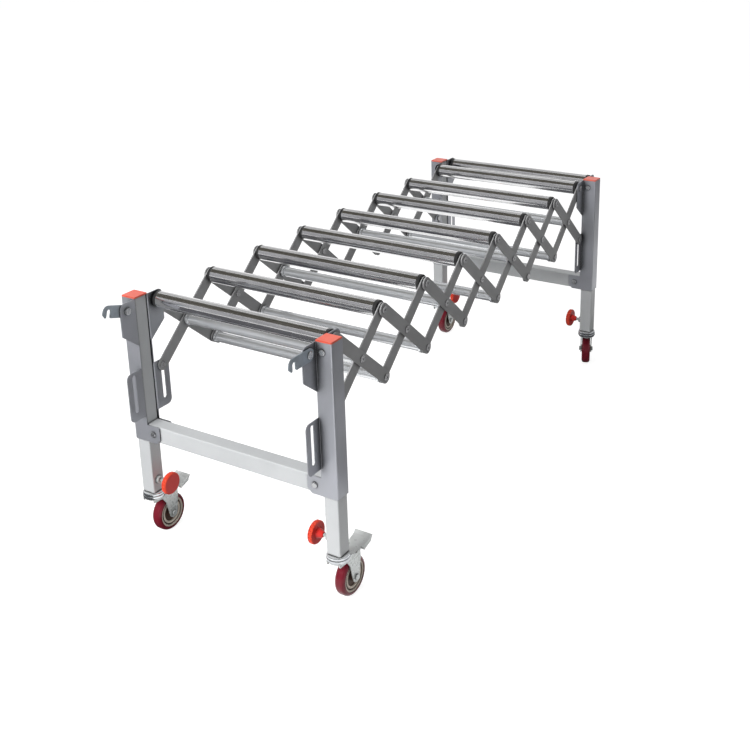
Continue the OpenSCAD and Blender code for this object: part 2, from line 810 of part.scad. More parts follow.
// The swivelling fork: cup, crown, two side plates and the wheel's axle
module caster_fork(c) {
    inner = fork_inner / 2;
    seat = inner + fork_t + face_gap;
    color([0.8, 0.81, 0.83]) at_caster(c) difference() {
        union() {
            rotate_extrude() {
                translate([0, cup_bottom]) square([cup_d / 2 - cup_lip, cup_t]);
                translate([0, cup_top - cup_band - cup_lip]) square([cup_d / 2, cup_band]);
                translate([cup_d / 2 - cup_lip, cup_top - cup_lip]) circle(r = cup_lip);
                translate([cup_d / 2 - cup_lip, cup_top - cup_band - cup_lip]) circle(r = cup_lip);
            }
            translate([0, 0, crown_bottom]) cylinder(h = crown_t, d = cup_d - 2 * cup_lip);
            translate([-inner - fork_t, 0, crown_bottom])
                cube([2 * inner + 2 * fork_t, fork_back, crown_t]);
            both_sides() plate_x(inner, inner + fork_t) fork_plate_outline();
        }
        translate([0, 0, crown_bottom - cut]) cylinder(h = cup_t + crown_t + 2 * cut, r = king_r + run_gap);
    }
    color("silver") at_caster(c) translate([0, trail, wheel_r]) {
        bar_x(-seat, seat, 2 * axle_r);
        both_sides() bar_x(seat, seat + axle_head_h, axle_head_d);
    }
    if (c == "near_left" || c == "near_right") color("silver") at_caster(c) translate([0, pedal_y, pedal_z])
        bar_x(-inner - fork_t, inner + fork_t, 2 * pedal_pin_r);
}

// The wheel's hub, stepped in rings on both faces
module caster_hub(c) {
    rings = [[hub_core_r - cut, hub_web_w, hub_band_in + cut], [hub_band_in, hub_band_w, hub_step_in],
             [hub_step_in - cut, hub_step_w, hub_rim_in + cut], [hub_rim_in, hub_rim_w, hub_r]];
    color([0.85, 0.8, 0.68]) at_caster(c) translate([0, trail, wheel_r]) rotate([0, 90, 0])
        rotate_extrude() {
            translate([axle_r + run_gap, -hub_core_w / 2])
                square([hub_core_r - axle_r - run_gap, hub_core_w]);
            for (r = rings) translate([r[0], -r[1] / 2]) square([r[2] - r[0], r[1]]);
        }
}

module caster_tyre(c) {
    color([0.5, 0.12, 0.18]) at_caster(c) translate([0, trail, wheel_r]) rotate([0, 90, 0]) rotate_extrude()
        polygon(rounded(
            [[hub_r + face_gap, -tyre_w / 2], [wheel_r, -tyre_w / 2],
             [wheel_r, tyre_w / 2], [hub_r + face_gap, tyre_w / 2]],
            [0, tyre_round, tyre_round, 0]));
}

// The pedal's bent sheet, as a side view: a flat tread with an upturned lip
module pedal_outline() {
    polygon(rounded(
        [[pedal_root_y, pedal_root_z], [pedal_knee_y, pedal_knee_z], [pedal_tip_y, pedal_tip_z],
         [pedal_lip_y, pedal_lip_z], [pedal_lip_y - pedal_t, pedal_lip_z],
         [pedal_tip_y - pedal_t, pedal_tip_z + pedal_t],
         [pedal_knee_y, pedal_knee_z + pedal_t], [pedal_root_y, pedal_root_z + pedal_t]],
        [0, pedal_bend_r, pedal_bend_r, pedal_edge_r, pedal_edge_r, pedal_edge_r, pedal_bend_r, 0]));
}

// The brake pedal: it turns on a pin in the fork and presses its shoe on the tyre
module brake_pedal(s) {
    half = fork_inner / 2 - pedal_side;
    color([0.78, 0.79, 0.8]) at_caster(str("near_", s)) difference() {
        union() {
            intersection() {
                plate_x(-pedal_w / 2, pedal_w / 2) pedal_outline();
                union() {
                    translate([-half, 0, 0]) cube([2 * half, pedal_knee_y, 2 * pedal_tip_z]);
                    translate([-pedal_w / 2, pedal_knee_y - cut, 0])
                        cube([pedal_w, pedal_lip_y, 2 * pedal_tip_z]);
                }
            }
            both_sides() plate_x(pedal_w / 2 - pedal_t, pedal_w / 2) polygon([
                [pedal_knee_y, pedal_knee_z - pedal_skirt], [pedal_tip_y, pedal_tip_z - pedal_skirt],
                [pedal_tip_y, pedal_tip_z + pedal_t / 2], [pedal_knee_y, pedal_knee_z + pedal_t / 2]]);
            both_sides() plate_x(half - pedal_ear_t, half) {
                translate([pedal_y, pedal_z]) circle(r = pedal_ear_r);
                translate([pedal_y - pedal_ear_r, pedal_z])
                    square([2 * pedal_ear_r, pedal_root_z - pedal_z + pedal_t]);
            }
            plate_x(-half, half) polygon([
                [pedal_y + pedal_ear_r - shoe_w, shoe_z + shoe_w], [shoe_y, shoe_z],
                [shoe_y + shoe_w, shoe_z + shoe_w / 2],
                [pedal_knee_y - shoe_w / 2, pedal_knee_z], [pedal_y + pedal_ear_r - shoe_w, pedal_knee_z]]);
        }
        plate_x(-pedal_w, pedal_w) translate([pedal_y, pedal_z]) circle(r = pedal_pin_r + run_gap);
    }
}

// Draw the named piece, or all of them
for (e = ends) {
    uprights(e);
    leg_tubes(e);
    crossbar(e);
    leg_caps(e);
}
far_roller_axle();
for (i = [1:units]) {
    outer_arms(i);
    inner_arms(i);
}
for (i = tube_units) cross_tubes(i);
for (i = [1:units + 2]) roller(i);
for (s = sides) {
    coupling_hook(s);
    brake_pedal(s);
}
for (c = corners) {
    inner_leg(c);
    leg_knob(c);
    caster_fork(c);
    caster_hub(c);
    caster_tyre(c);
}
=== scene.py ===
"""Looks of an expanding roller stand on casters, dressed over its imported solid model."""
import logging
import math
from dataclasses import dataclass
from enum import Enum
from typing import Callable, Dict, List, Sequence, Tuple

import bpy
from mathutils import Matrix, Vector


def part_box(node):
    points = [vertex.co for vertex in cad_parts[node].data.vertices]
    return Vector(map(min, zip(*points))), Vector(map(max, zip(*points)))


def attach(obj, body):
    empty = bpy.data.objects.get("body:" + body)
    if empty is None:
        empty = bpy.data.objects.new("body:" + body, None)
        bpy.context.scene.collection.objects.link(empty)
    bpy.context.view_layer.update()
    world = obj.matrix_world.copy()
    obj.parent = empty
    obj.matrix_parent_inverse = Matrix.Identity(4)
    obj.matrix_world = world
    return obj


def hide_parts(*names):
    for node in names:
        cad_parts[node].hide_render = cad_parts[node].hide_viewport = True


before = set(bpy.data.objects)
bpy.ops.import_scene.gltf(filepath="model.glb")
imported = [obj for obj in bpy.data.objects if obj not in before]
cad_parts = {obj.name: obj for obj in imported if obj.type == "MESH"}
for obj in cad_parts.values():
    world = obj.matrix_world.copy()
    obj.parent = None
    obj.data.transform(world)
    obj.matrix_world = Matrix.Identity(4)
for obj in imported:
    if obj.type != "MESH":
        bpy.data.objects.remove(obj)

LOG = logging.getLogger("roller_stand")
MM = 0.001
Colour = Tuple[float, float, float]
Place = Tuple[float, float, float]
Band = Tuple[float, float]
Socket = bpy.types.NodeSocket

# The part of a noise, or of a shape's value, that turns into a mark
MOTTLE_BAND: Band = (0.35, 0.65)
FLECK_BAND: Band = (0.55, 0.75)
SCUFF_BAND: Band = (0.42, 0.62)
SHEEN_BAND: Band = (0.3, 0.7)
EDGE_BAND: Band = (0.86, 0.985)
# The share of ambient occlusion that turns into painted shade in corners and gaps.
GAP_BAND: Band = (0.5, 0.92)
CARD_BAND: Band = (0.4, 0.65)

# Octaves of each noise, and its marks per metre where every finish has the same
MOTTLE_DETAIL = 3.0
FLECK_DETAIL = 1.0
SCUFF_DETAIL = 4.0
SHEEN_DETAIL = 4.0
RELIEF_DETAIL = 2.0
CARD_DETAIL = 3.0
SCUFF_SCALE = 60.0
SHEEN_PER_MOTTLE = 3.0

# Sockets of a colour mix, and the rays that the edge and gap nodes send out
MIX_UNDER, MIX_OVER, MIX_OUT = 6, 7, 2
EDGE_SAMPLES = 4
GAP_SAMPLES = 6

WHITE = (1.0, 1.0, 1.0, 1.0)
WELD = 0.01 * MM


class Grain(Enum):
    """How the relief of a finish runs over the surface."""

    EVEN = (1.0, 1.0, 1.0)
    ALONG_X = (0.03, 1.0, 1.0)


@dataclass(frozen=True)
class Finish:
    """One finish of the stand, with its colour, its wear, its relief and the shade painted into
    its gaps.
    """

    name: str
    colour: Colour
    shade: Colour
    worn: Colour
    metal: float = 0.0
    rough: float = 0.45
    rough_spread: float = 0.08
    mottle: float = 9.0
    fleck: float = 900.0
    fleck_share: float = 0.25
    relief: float = 0.10
    relief_depth: float = 0.0002
    relief_scale: float = 700.0
    grain: Grain = Grain.EVEN
    edge: float = 0.9 * MM
    edge_wear: float = 0.35
    shine: float = 0.5
    coat: float = 0.0
    coat_rough: float = 0.2
    # Painted shade: how far the colour darkens in corners and gaps, the fraction of the mottle's
    # darker colour it darkens to, and how far off a neighbour still counts.
    painted_shade: float = 0.6
    painted_shade_tone: float = 0.25
    painted_shade_reach: float = 9.0 * MM

    def material(self) -> bpy.types.Material:
        """Build the finish once and hand out the same material after that.

        Returns:
            The material.
        """
        found = bpy.data.materials.get(self.name)
        if found:
            return found
        sheet = NodeSheet(self.name)
        along = sheet.place(self.grain.value)
        even = sheet.place(Grain.EVEN.value)
        inputs = sheet.shader.inputs
        sheet.join(self.tone(sheet, even, along), inputs["Base Color"])
        inputs["Metallic"].default_value = self.metal
        inputs["Specular IOR Level"].default_value = self.shine
        inputs["Coat Weight"].default_value = self.coat
        inputs["Coat Roughness"].default_value = self.coat_rough
        cloud = sheet.noise(even, self.mottle * SHEEN_PER_MOTTLE, SHEEN_DETAIL)
        sheen = (self.rough - self.rough_spread, self.rough + self.rough_spread)
        sheet.join(sheet.range(cloud, SHEEN_BAND, sheen), inputs["Roughness"])
        height = sheet.noise(along, self.relief_scale, RELIEF_DETAIL)
        rounded = sheet.bevel(self.edge)
        normal = sheet.bump(height, self.relief, self.relief_depth, rounded)
        sheet.join(normal, inputs["Normal"])
        return sheet.material

    def tone(self, sheet: "NodeSheet", even: Socket, along: Socket) -> Socket:
        """Layer the colour: mottle, flecks, worn edges, and painted shade in the gaps.

        Args:
            sheet: The material's nodes.
            even: Coordinates with no grain.
            along: Coordinates stretched along the grain.

        Returns:
            The colour socket.
        """
        broad = sheet.noise(even, self.mottle, MOTTLE_DETAIL)
        fleck = sheet.noise(along, self.fleck, FLECK_DETAIL)
        scuff = sheet.noise(even, SCUFF_SCALE, SCUFF_DETAIL)
        worn = sheet.spread(scuff, SCUFF_BAND, self.edge_wear)
        wear = sheet.times(sheet.edges(self.edge), worn)
        # Painted shade: in corners and gaps found by ambient occlusion, the colour darkens
        # towards this.
        painted_shade_colour: Colour = tuple(part * self.painted_shade_tone for part in self.shade)
        tone = sheet.blend(sheet.spread(broad, MOTTLE_BAND), self.colour, self.shade)
        tone = sheet.layer(sheet.spread(fleck, FLECK_BAND, self.fleck_share), tone, self.worn)
        tone = sheet.layer(wear, tone, self.worn)
        return sheet.layer(sheet.corners(self.painted_shade_reach, self.painted_shade), tone, painted_shade_colour)


class NodeSheet:
    """A material's node tree, with short calls for the nodes that the finishes share."""

    def __init__(self, name: str) -> None:
        """Start an empty material with one principled shader.

        Args:
            name: The material's name.
        """
        self.material = bpy.data.materials.new(name)
        self.material.use_nodes = True
        self.tree = self.material.node_tree
        self.shader = self.tree.nodes["Principled BSDF"]

    def add(self, kind: str) -> bpy.types.Node:
        """Add a node of a kind."""
        return self.tree.nodes.new(kind)

    def join(self, source: Socket, target: Socket) -> None:
        """Link two sockets."""
        self.tree.links.new(source, target)

    def place(self, stretch: Sequence[float]) -> Socket:
        """Give the object's own coordinates, stretched.

        Args:
            stretch: The scale along each axis.

        Returns:
            The vector socket.
        """
        where = self.add("ShaderNodeTexCoord")
        mapping = self.add("ShaderNodeMapping")
        mapping.inputs["Scale"].default_value = stretch
        self.join(where.outputs["Object"], mapping.inputs["Vector"])
        return mapping.outputs["Vector"]

    def noise(self, where: Socket, scale: float, detail: float) -> Socket:
        """Give a noise value.

        Args:
            where: The coordinates.
            scale: Features per metre.
            detail: Octaves.

        Returns:
            The value socket.
        """
        node = self.add("ShaderNodeTexNoise")
        node.inputs["Scale"].default_value = scale
        node.inputs["Detail"].default_value = detail
        self.join(where, node.inputs["Vector"])
        return node.outputs["Fac"]

    def range(self, value: Socket, band: Band, to: Band) -> Socket:
        """Map a value from one range to another, held at its ends.

        Args:
            value: The value.
            band: Where the input starts and ends.
            to: What its start and end become.

        Returns:
            The value socket.
        """
        node = self.add("ShaderNodeMapRange")
        node.inputs["From Min"].default_value, node.inputs["From Max"].default_value = band
        node.inputs["To Min"].default_value, node.inputs["To Max"].default_value = to
        self.join(value, node.inputs["Value"])
        return node.outputs["Result"]

    def spread(self, value: Socket, band: Band, most: float = 1.0) -> Socket:
        """Widen a band of a value to the range from nought to a most."""
        return self.range(value, band, (0.0, most))

    def times(self, first: Socket, second: Socket) -> Socket:
        """Multiply two values.

        Args:
            first: One value.
            second: The other value.

        Returns:
            The value socket.
        """
        node = self.add("ShaderNodeMath")
        node.operation = "MULTIPLY"
        self.join(first, node.inputs[0])
        self.join(second, node.inputs[1])
        return node.outputs["Value"]

    def mix(self, share: Socket, over: Colour) -> bpy.types.Node:
        """Start a mix towards a plain colour.

        Args:
            share: How much of the colour.
            over: The colour.

        Returns:
            The node, with nothing under the colour yet.
        """
        node = self.add("ShaderNodeMix")
        node.data_type = "RGBA"
        node.inputs[MIX_OVER].default_value = (*over, 1.0)
        self.join(share, node.inputs["Factor"])
        return node

    def blend(self, share: Socket, first: Colour, second: Colour) -> Socket:
        """Mix two plain colours.

        Args:
            share: How much of the second.
            first: The first colour.
            second: The second colour.

        Returns:
            The colour socket.
        """
        node = self.mix(share, second)
        node.inputs[MIX_UNDER].default_value = (*first, 1.0)
        return node.outputs[MIX_OUT]

    def layer(self, share: Socket, under: Socket, over: Colour) -> Socket:
        """Lay a plain colour over another.

        Args:
            share: How much of the upper colour.
            under: The lower colour.
            over: The upper colour.

        Returns:
            The colour socket.
        """
        node = self.mix(share, over)
        self.join(under, node.inputs[MIX_UNDER])
        return node.outputs[MIX_OUT]

    def bevel(self, radius: float) -> Socket:
        """Give a normal that is rounded over the edges.

        Args:
            radius: How wide the rounding is.

        Returns:
            The normal socket.
        """
        node = self.add("ShaderNodeBevel")
        node.samples = EDGE_SAMPLES
        node.inputs["Radius"].default_value = radius
        return node.outputs["Normal"]

    def edges(self, radius: float) -> Socket:
        """Give a value that is 1 on an edge and 0 on a face.

        Args:
            radius: How wide the edge is.

        Returns:
            The value socket.
        """
        shape = self.add("ShaderNodeNewGeometry")
        dot = self.add("ShaderNodeVectorMath")
        dot.operation = "DOT_PRODUCT"
        self.join(self.bevel(radius), dot.inputs[0])
        self.join(shape.outputs["Normal"], dot.inputs[1])
        return self.range(dot.outputs["Value"], EDGE_BAND, (1.0, 0.0))

    def corners(self, reach: float, most: float) -> Socket:
        """Give a value that grows in corners and gaps, where the finishes paint shade into the
        colour.

        Args:
            reach: How far off a neighbour still counts.
            most: The value deep in a gap.

        Returns:
            The value socket.
        """
        node = self.add("ShaderNodeAmbientOcclusion")
        node.samples = GAP_SAMPLES
        node.inputs["Distance"].default_value = reach
        return self.range(node.outputs["AO"], GAP_BAND, (most, 0.0))

    def bump(self, height: Socket, strength: float, distance: float, normal: Socket) -> Socket:
        """Give a normal with relief.

        Args:
            height: The relief's height.
            strength: How strong it is.
            distance: Its depth in metres.
            normal: The normal under it.

        Returns:
            The normal socket.
        """
        node = self.add("ShaderNodeBump")
        node.inputs["Strength"].default_value = strength
        node.inputs["Distance"].default_value = distance
        self.join(height, node.inputs["Height"])
        self.join(normal, node.inputs["Normal"])
        return node.outputs["Normal"]


# The channel paints deep, near-black shade into its folds and the gaps beside them.
CHANNEL_PAINT = Finish(
    "channel_grey_paint", (0.43, 0.44, 0.48), (0.38, 0.39, 0.42), (0.53, 0.54, 0.57),
    metal=0.45, rough=0.32, rough_spread=0.03, fleck_share=0.1, relief=0.04,
    painted_shade=0.97, painted_shade_tone=0.05, painted_shade_reach=24.0 * MM,
)
TUBE_PAINT = Finish(
    "tube_silver_paint", (0.62, 0.635, 0.645), (0.57, 0.585, 0.595), (0.72, 0.73, 0.74),
    metal=0.05, rough=0.42, rough_spread=0.04, fleck_share=0.1, relief=0.04,
    painted_shade=0.9, painted_shade_tone=0.1, painted_shade_reach=6.0 * MM,
)
TUBE_STEEL = Finish(
    "cross_tube_steel", (0.86, 0.88, 0.90), (0.80, 0.82, 0.84), (0.94, 0.95, 0.96),
    metal=0.7, rough=0.22, rough_spread=0.04, mottle=14.0, fleck=300.0, fleck_share=0.2,
    relief=0.05, relief_scale=180.0, grain=Grain.ALONG_X, edge_wear=0.2,
)
ARM_PAINT = Finish(
    "arm_grey_paint", (0.39, 0.39, 0.395), (0.34, 0.34, 0.345), (0.48, 0.48, 0.48),
    metal=0.05, rough=0.5, rough_spread=0.05, fleck_share=0.12, relief=0.05,
)
ROLLER_STEEL = Finish(
    "roller_bright_steel", (0.82, 0.82, 0.825), (0.71, 0.71, 0.72), (0.92, 0.92, 0.925),
    metal=1.0, rough=0.14, rough_spread=0.05, mottle=14.0, fleck=420.0, fleck_share=0.35,
    relief=0.12, relief_depth=0.0004, relief_scale=160.0, grain=Grain.ALONG_X, edge_wear=0.1,
)
ZINC = Finish(
    "bright_zinc", (0.68, 0.71, 0.70), (0.60, 0.63, 0.62), (0.80, 0.82, 0.81),
    metal=0.35, rough=0.28, rough_spread=0.04, mottle=26.0, fleck=500.0, fleck_share=0.12,
    relief=0.03, relief_scale=500.0, painted_shade=0.85, painted_shade_tone=0.12,
)
PEDAL_ZINC = Finish(
    "pedal_zinc", (0.82, 0.85, 0.84), (0.74, 0.77, 0.76), (0.94, 0.95, 0.94),
    metal=0.1, rough=0.3, rough_spread=0.04, mottle=26.0, fleck_share=0.08,
    relief=0.03, relief_scale=500.0, painted_shade=0.8, painted_shade_tone=0.15, painted_shade_reach=6.0 * MM,
)
CUP_ZINC = Finish(
    "swivel_cup_zinc", (0.72, 0.74, 0.76), (0.40, 0.42, 0.44), (0.92, 0.93, 0.94),
    metal=0.95, rough=0.14, rough_spread=0.06, mottle=30.0, fleck=500.0, fleck_share=0.2,
    relief=0.1, relief_scale=400.0, edge_wear=0.1,
    painted_shade=0.95, painted_shade_tone=0.1, painted_shade_reach=4.0 * MM,
)
RIVET_STEEL = Finish(
    "rivet_dull_steel", (0.50, 0.50, 0.51), (0.40, 0.40, 0.41), (0.72, 0.72, 0.73),
    metal=0.7, rough=0.3, mottle=120.0, fleck=700.0, edge=0.6 * MM, edge_wear=0.6,
)
BOLT_ZINC = Finish(
    "bolt_bright_zinc", (0.56, 0.57, 0.58), (0.44, 0.45, 0.46), (0.80, 0.81, 0.82),
    metal=0.85, rough=0.25, rough_spread=0.05, mottle=80.0, fleck_share=0.1, relief=0.03,
    edge=0.5 * MM,
)
# Near-black for the shallow rivet sockets: painted shade standing in for the shadow in the
# recess.
SOCKET_SHADE = Finish(
    "rivet_socket_painted_shade", (0.10, 0.10, 0.105), (0.06, 0.06, 0.065), (0.2, 0.2, 0.2),
    metal=0.6, rough=0.4, relief=0.2,
)
HOOK_ZINC = Finish(
    "hook_blue_zinc", (0.42, 0.47, 0.52), (0.34, 0.38, 0.42), (0.58, 0.61, 0.64),
    metal=0.85, rough=0.38, mottle=40.0, fleck=700.0, fleck_share=0.1,
)
BLACK_PLASTIC = Finish(
    "roller_end_plastic", (0.018, 0.018, 0.019), (0.028, 0.028, 0.028), (0.07, 0.07, 0.07),
    rough=0.42, relief=0.2, relief_scale=1200.0, edge_wear=0.3,
)
CAP_PLASTIC = Finish(
    "cap_orange_plastic", (0.91, 0.15, 0.09), (0.86, 0.12, 0.07), (1.0, 0.32, 0.2),
    rough=0.36, fleck_share=0.06, relief=0.12, relief_scale=1500.0, edge_wear=0.5,
)
KNOB_PLASTIC = Finish(
    "knob_red_plastic", (0.78, 0.035, 0.028), (0.70, 0.028, 0.022), (0.90, 0.09, 0.06),
    rough=0.34, shine=0.3, coat=0.05, fleck_share=0.05, relief=0.04, relief_scale=1100.0,
)
# A lighter copy of the knob's plastic for the rim: painted light on the rim against the darker,
# painted shade of the concave face.
KNOB_RIM_LIT = Finish(
    "knob_rim_painted_light", (0.90, 0.085, 0.04), (0.82, 0.06, 0.03), (1.0, 0.2, 0.1),
    rough=0.34, shine=0.3, coat=0.05, fleck_share=0.05, relief=0.04, relief_scale=1100.0,
)
TYRE = Finish(
    "tyre_maroon", (0.22, 0.012, 0.026), (0.17, 0.009, 0.02), (0.32, 0.03, 0.05),
    rough=0.3, rough_spread=0.05, fleck_share=0.05, relief=0.03,
    shine=0.25, coat=0.12, coat_rough=0.08,
)
HUB_PLASTIC = Finish(
    "hub_cream_plastic", (0.88, 0.79, 0.69), (0.80, 0.70, 0.59), (0.95, 0.90, 0.82),
    rough=0.5, fleck_share=0.08, relief=0.04, painted_shade=0.3,
)
# Dark brown for the hub's recessed ring grooves: painted shade where the recess lies in shadow.
HUB_GROOVE_SHADE = Finish(
    "hub_groove_painted_shade", (0.10, 0.05, 0.03), (0.07, 0.035, 0.02), (0.2, 0.1, 0.06),
    rough=0.6, relief=0.1,
)


def put(name: str, data: bpy.types.ID) -> bpy.types.Object:
    """Add an object to the scene.

    Args:
        name: The object's name.
        data: Its mesh, lamp or camera.

    Returns:
        The object.
    """
    made = bpy.data.objects.new(name, data)
    bpy.context.scene.collection.objects.link(made)
    return made


def rectangle(name: str, wide: float, deep: float) -> bpy.types.Mesh:
    """Make a flat rectangle about its own middle.

    Args:
        name: The mesh's name.
        wide: Its size along x.
        deep: Its size along y.

    Returns:
        The mesh.
    """
    x, y = wide / 2, deep / 2
    mesh = bpy.data.meshes.new(name)
    mesh.from_pydata([(-x, -y, 0.0), (x, -y, 0.0), (x, y, 0.0), (-x, y, 0.0)], [], [(0, 1, 2, 3)])
    return mesh


@dataclass(frozen=True)
class Facet:
    """One face of a node, with the solid that it belongs to."""

    middle: Vector
    normal: Vector
    low: Vector
    high: Vector

    @property
    def span(self) -> Vector:
        """The size of the solid along each axis."""
        return self.high - self.low


Rule = Tuple[Callable[[Facet], bool], Finish]


class SolidNode:
    """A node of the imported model, split into its separate solids for dressing."""

    def __init__(self, name: str) -> None:
        """Find the solids of a node.

        Args:
            name: The node's name.
        """
        self.name = name
        self.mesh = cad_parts[name].data
        keys: Dict[Tuple[int, int, int], int] = {}
        at = [
            keys.setdefault(tuple(round(c / WELD) for c in v.co), len(keys))
            for v in self.mesh.vertices
        ]
        self.root = list(range(len(keys)))
        for face in self.mesh.polygons:
            first = self.find(at[face.vertices[0]])
            for corner in face.vertices[1:]:
                self.root[self.find(at[corner])] = first
        self.solid_of = [self.find(at[face.vertices[0]]) for face in self.mesh.polygons]
        self.boxes: Dict[int, Tuple[Vector, Vector]] = {}
        for vertex, key in zip(self.mesh.vertices, at):
            solid = self.find(key)
            low, high = self.boxes.get(solid, (vertex.co.copy(), vertex.co.copy()))
            self.boxes[solid] = (
                Vector(map(min, low, vertex.co)),
                Vector(map(max, high, vertex.co)),
            )

    def find(self, key: int) -> int:
        """Follow a point to the root of its solid.

        Args:
            key: The point.

        Returns:
            The root's key.
        """
        while self.root[key] != key:
            self.root[key] = self.root[self.root[key]]
            key = self.root[key]
        return key

    def dress(self, plain: Finish, rules: Sequence[Rule] = ()) -> None:
        """Give every face the finish of the first rule that holds for it.

        Args:
            plain: The finish of a face that no rule holds for.
            rules: Tests, each with its finish.
        """
        finishes = [plain] + [finish for _, finish in rules]
        self.mesh.materials.clear()
        for finish in finishes:
            self.mesh.materials.append(finish.material())
        for face, solid in zip(self.mesh.polygons, self.solid_of):
            low, high = self.boxes[solid]
            facet = Facet(face.center, face.normal, low, high)
            face.material_index = next(
                (i + 1 for i, (test, _) in enumerate(rules) if test(facet)), 0
            )
        LOG.info("dressed %s with %s", self.name, ", ".join(f.name for f in finishes))


def names(*starts: str) -> List[str]:
    """List the nodes whose names start in one of the given ways."""
    return [n for n in sorted(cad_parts) if n.startswith(starts)]


@dataclass
class EndFrames:
    """The two end frames: uprights, leg tubes, crossbars and caps."""

    tall: float = 100 * MM
    leg_x: float = 260 * MM
    tube_half: float = 18 * MM
    bush_margin: float = 0.1 * MM

    def dress(self) -> None:
        """Dress the frames' nodes."""
        for name in names("near_uprights", "far_uprights"):
            SolidNode(name).dress(CHANNEL_PAINT, [(lambda f: f.span.z < self.tall, BOLT_ZINC)])
        for name in names("near_crossbar", "far_crossbar"):
            SolidNode(name).dress(TUBE_PAINT, [(lambda f: f.span.x < self.tall, BOLT_ZINC)])
        bush_x = self.leg_x - self.tube_half - self.bush_margin
        for name in names("near_leg_tubes", "far_leg_tubes"):
            SolidNode(name).dress(TUBE_PAINT, [(lambda f: abs(f.middle.x) < bush_x, ZINC)])
        for name in names("near_leg_caps", "far_leg_caps"):
            SolidNode(name).dress(CAP_PLASTIC)


@dataclass
class ScissorLinkage:
    """The folding arms with their rods, rivets, roller axles and cross tubes."""

    arm_reach: float = 100 * MM
    socket_r: float = 2.5 * MM
    socket_depth: float = 0.25 * MM
    socket_taper: float = 0.8
    socket_sides: int = 6

    def rings(self, end: Place, side: float) -> List[Place]:
        """Give the corners of one socket, its wide ring first.

        Args:
            end: The middle of the rod's end.
            side: 1 where the end looks along x, or else -1.

        Returns:
            The corners.
        """
        x, y, z = end
        narrow = self.socket_r * self.socket_taper
        turns = [side * math.tau * k / self.socket_sides for k in range(self.socket_sides)]
        return [
            (x + side * lift, y + radius * math.cos(turn), z + radius * math.sin(turn))
            for radius, lift in ((self.socket_r, 0.0), (narrow, self.socket_depth))
            for turn in turns
        ]

    def sockets(self, node: "SolidNode") -> None:
        """Set a shallow six-sided socket, coloured near-black as painted shade, on the outer end
        of each rod and rivet of a node.

        Args:
            node: The arms' node, already split into its solids.
        """
        corners: List[Place] = []
        faces: List[Tuple[int, ...]] = []
        count = self.socket_sides
        for low, high in node.boxes.values():
            if high.y - low.y > self.arm_reach:
                continue
            for end in (low.x, high.x):
                side = math.copysign(1.0, end)
                if side * (low.x + high.x) < -self.socket_depth:
                    continue
                first = len(corners)
                last = first + count
                middle = (end, (low.y + high.y) / 2, (low.z + high.z) / 2)
                corners += self.rings(middle, side)
                faces.append(tuple(range(last, last + count)))
                for k in range(count):
                    after = (k + 1) % count
                    faces.append((first + k, first + after, last + after, last + k))
        if not faces:
            return
        mesh = bpy.data.meshes.new(node.name + "_sockets")
        mesh.from_pydata(corners, [], faces)
        # The sockets take the near-black painted shade.
        mesh.materials.append(SOCKET_SHADE.material())
        piece = put(node.name + "_sockets", mesh)
        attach(piece, node.name)

    def dress(self) -> None:
        """Dress the linkage's nodes."""
        for name in names("outer_arms", "inner_arms"):
            node = SolidNode(name)
            node.dress(RIVET_STEEL, [(lambda f: f.span.y > self.arm_reach, ARM_PAINT)])
            self.sockets(node)
        for name in names("cross_tubes"):
            SolidNode(name).dress(TUBE_STEEL)
        SolidNode("far_roller_axle").dress(ZINC)


@dataclass
class RollerBed:
    """The rollers that the stand carries its load on."""

    tube_length: float = 200 * MM

    def dress(self) -> None:
        """Dress the rollers' steel tubes and plastic ends."""
        for name in names("roller_"):
            SolidNode(name).dress(
                ROLLER_STEEL, [(lambda f: f.span.x < self.tube_length, BLACK_PLASTIC)]
            )


@dataclass
class LegFittings:
    """The knobs that clamp the sliding legs."""

    stem_r: float = 5 * MM
    stem_lean: float = 0.5
    rim_r: float = 23 * MM
    knob_z: float = 155 * MM

    def dress(self) -> None:
        """Dress the knobs."""
        for name in names("leg_knob"):
            low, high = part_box(name)
            axis_y = (low.y + high.y) / 2

            def off_axis(facet: Facet, y: float = axis_y) -> float:
                """Give a face's distance from the knob's axis."""
                return math.hypot(facet.middle.y - y, facet.middle.z - self.knob_z)

            def on_stem(facet: Facet, y: float = axis_y) -> bool:
                """Say whether a face lies on the steel stem."""
                return off_axis(facet, y) < self.stem_r and abs(facet.normal.x) < self.stem_lean

            def on_rim(facet: Facet, y: float = axis_y) -> bool:
                """Say whether a face lies on the rim."""
                return off_axis(facet, y) > self.rim_r

            # The rim takes the lighter copy of the plastic, painted light; the face keeps the
            # darker one.
            SolidNode(name).dress(KNOB_PLASTIC, [(on_stem, ZINC), (on_rim, KNOB_RIM_LIT)])


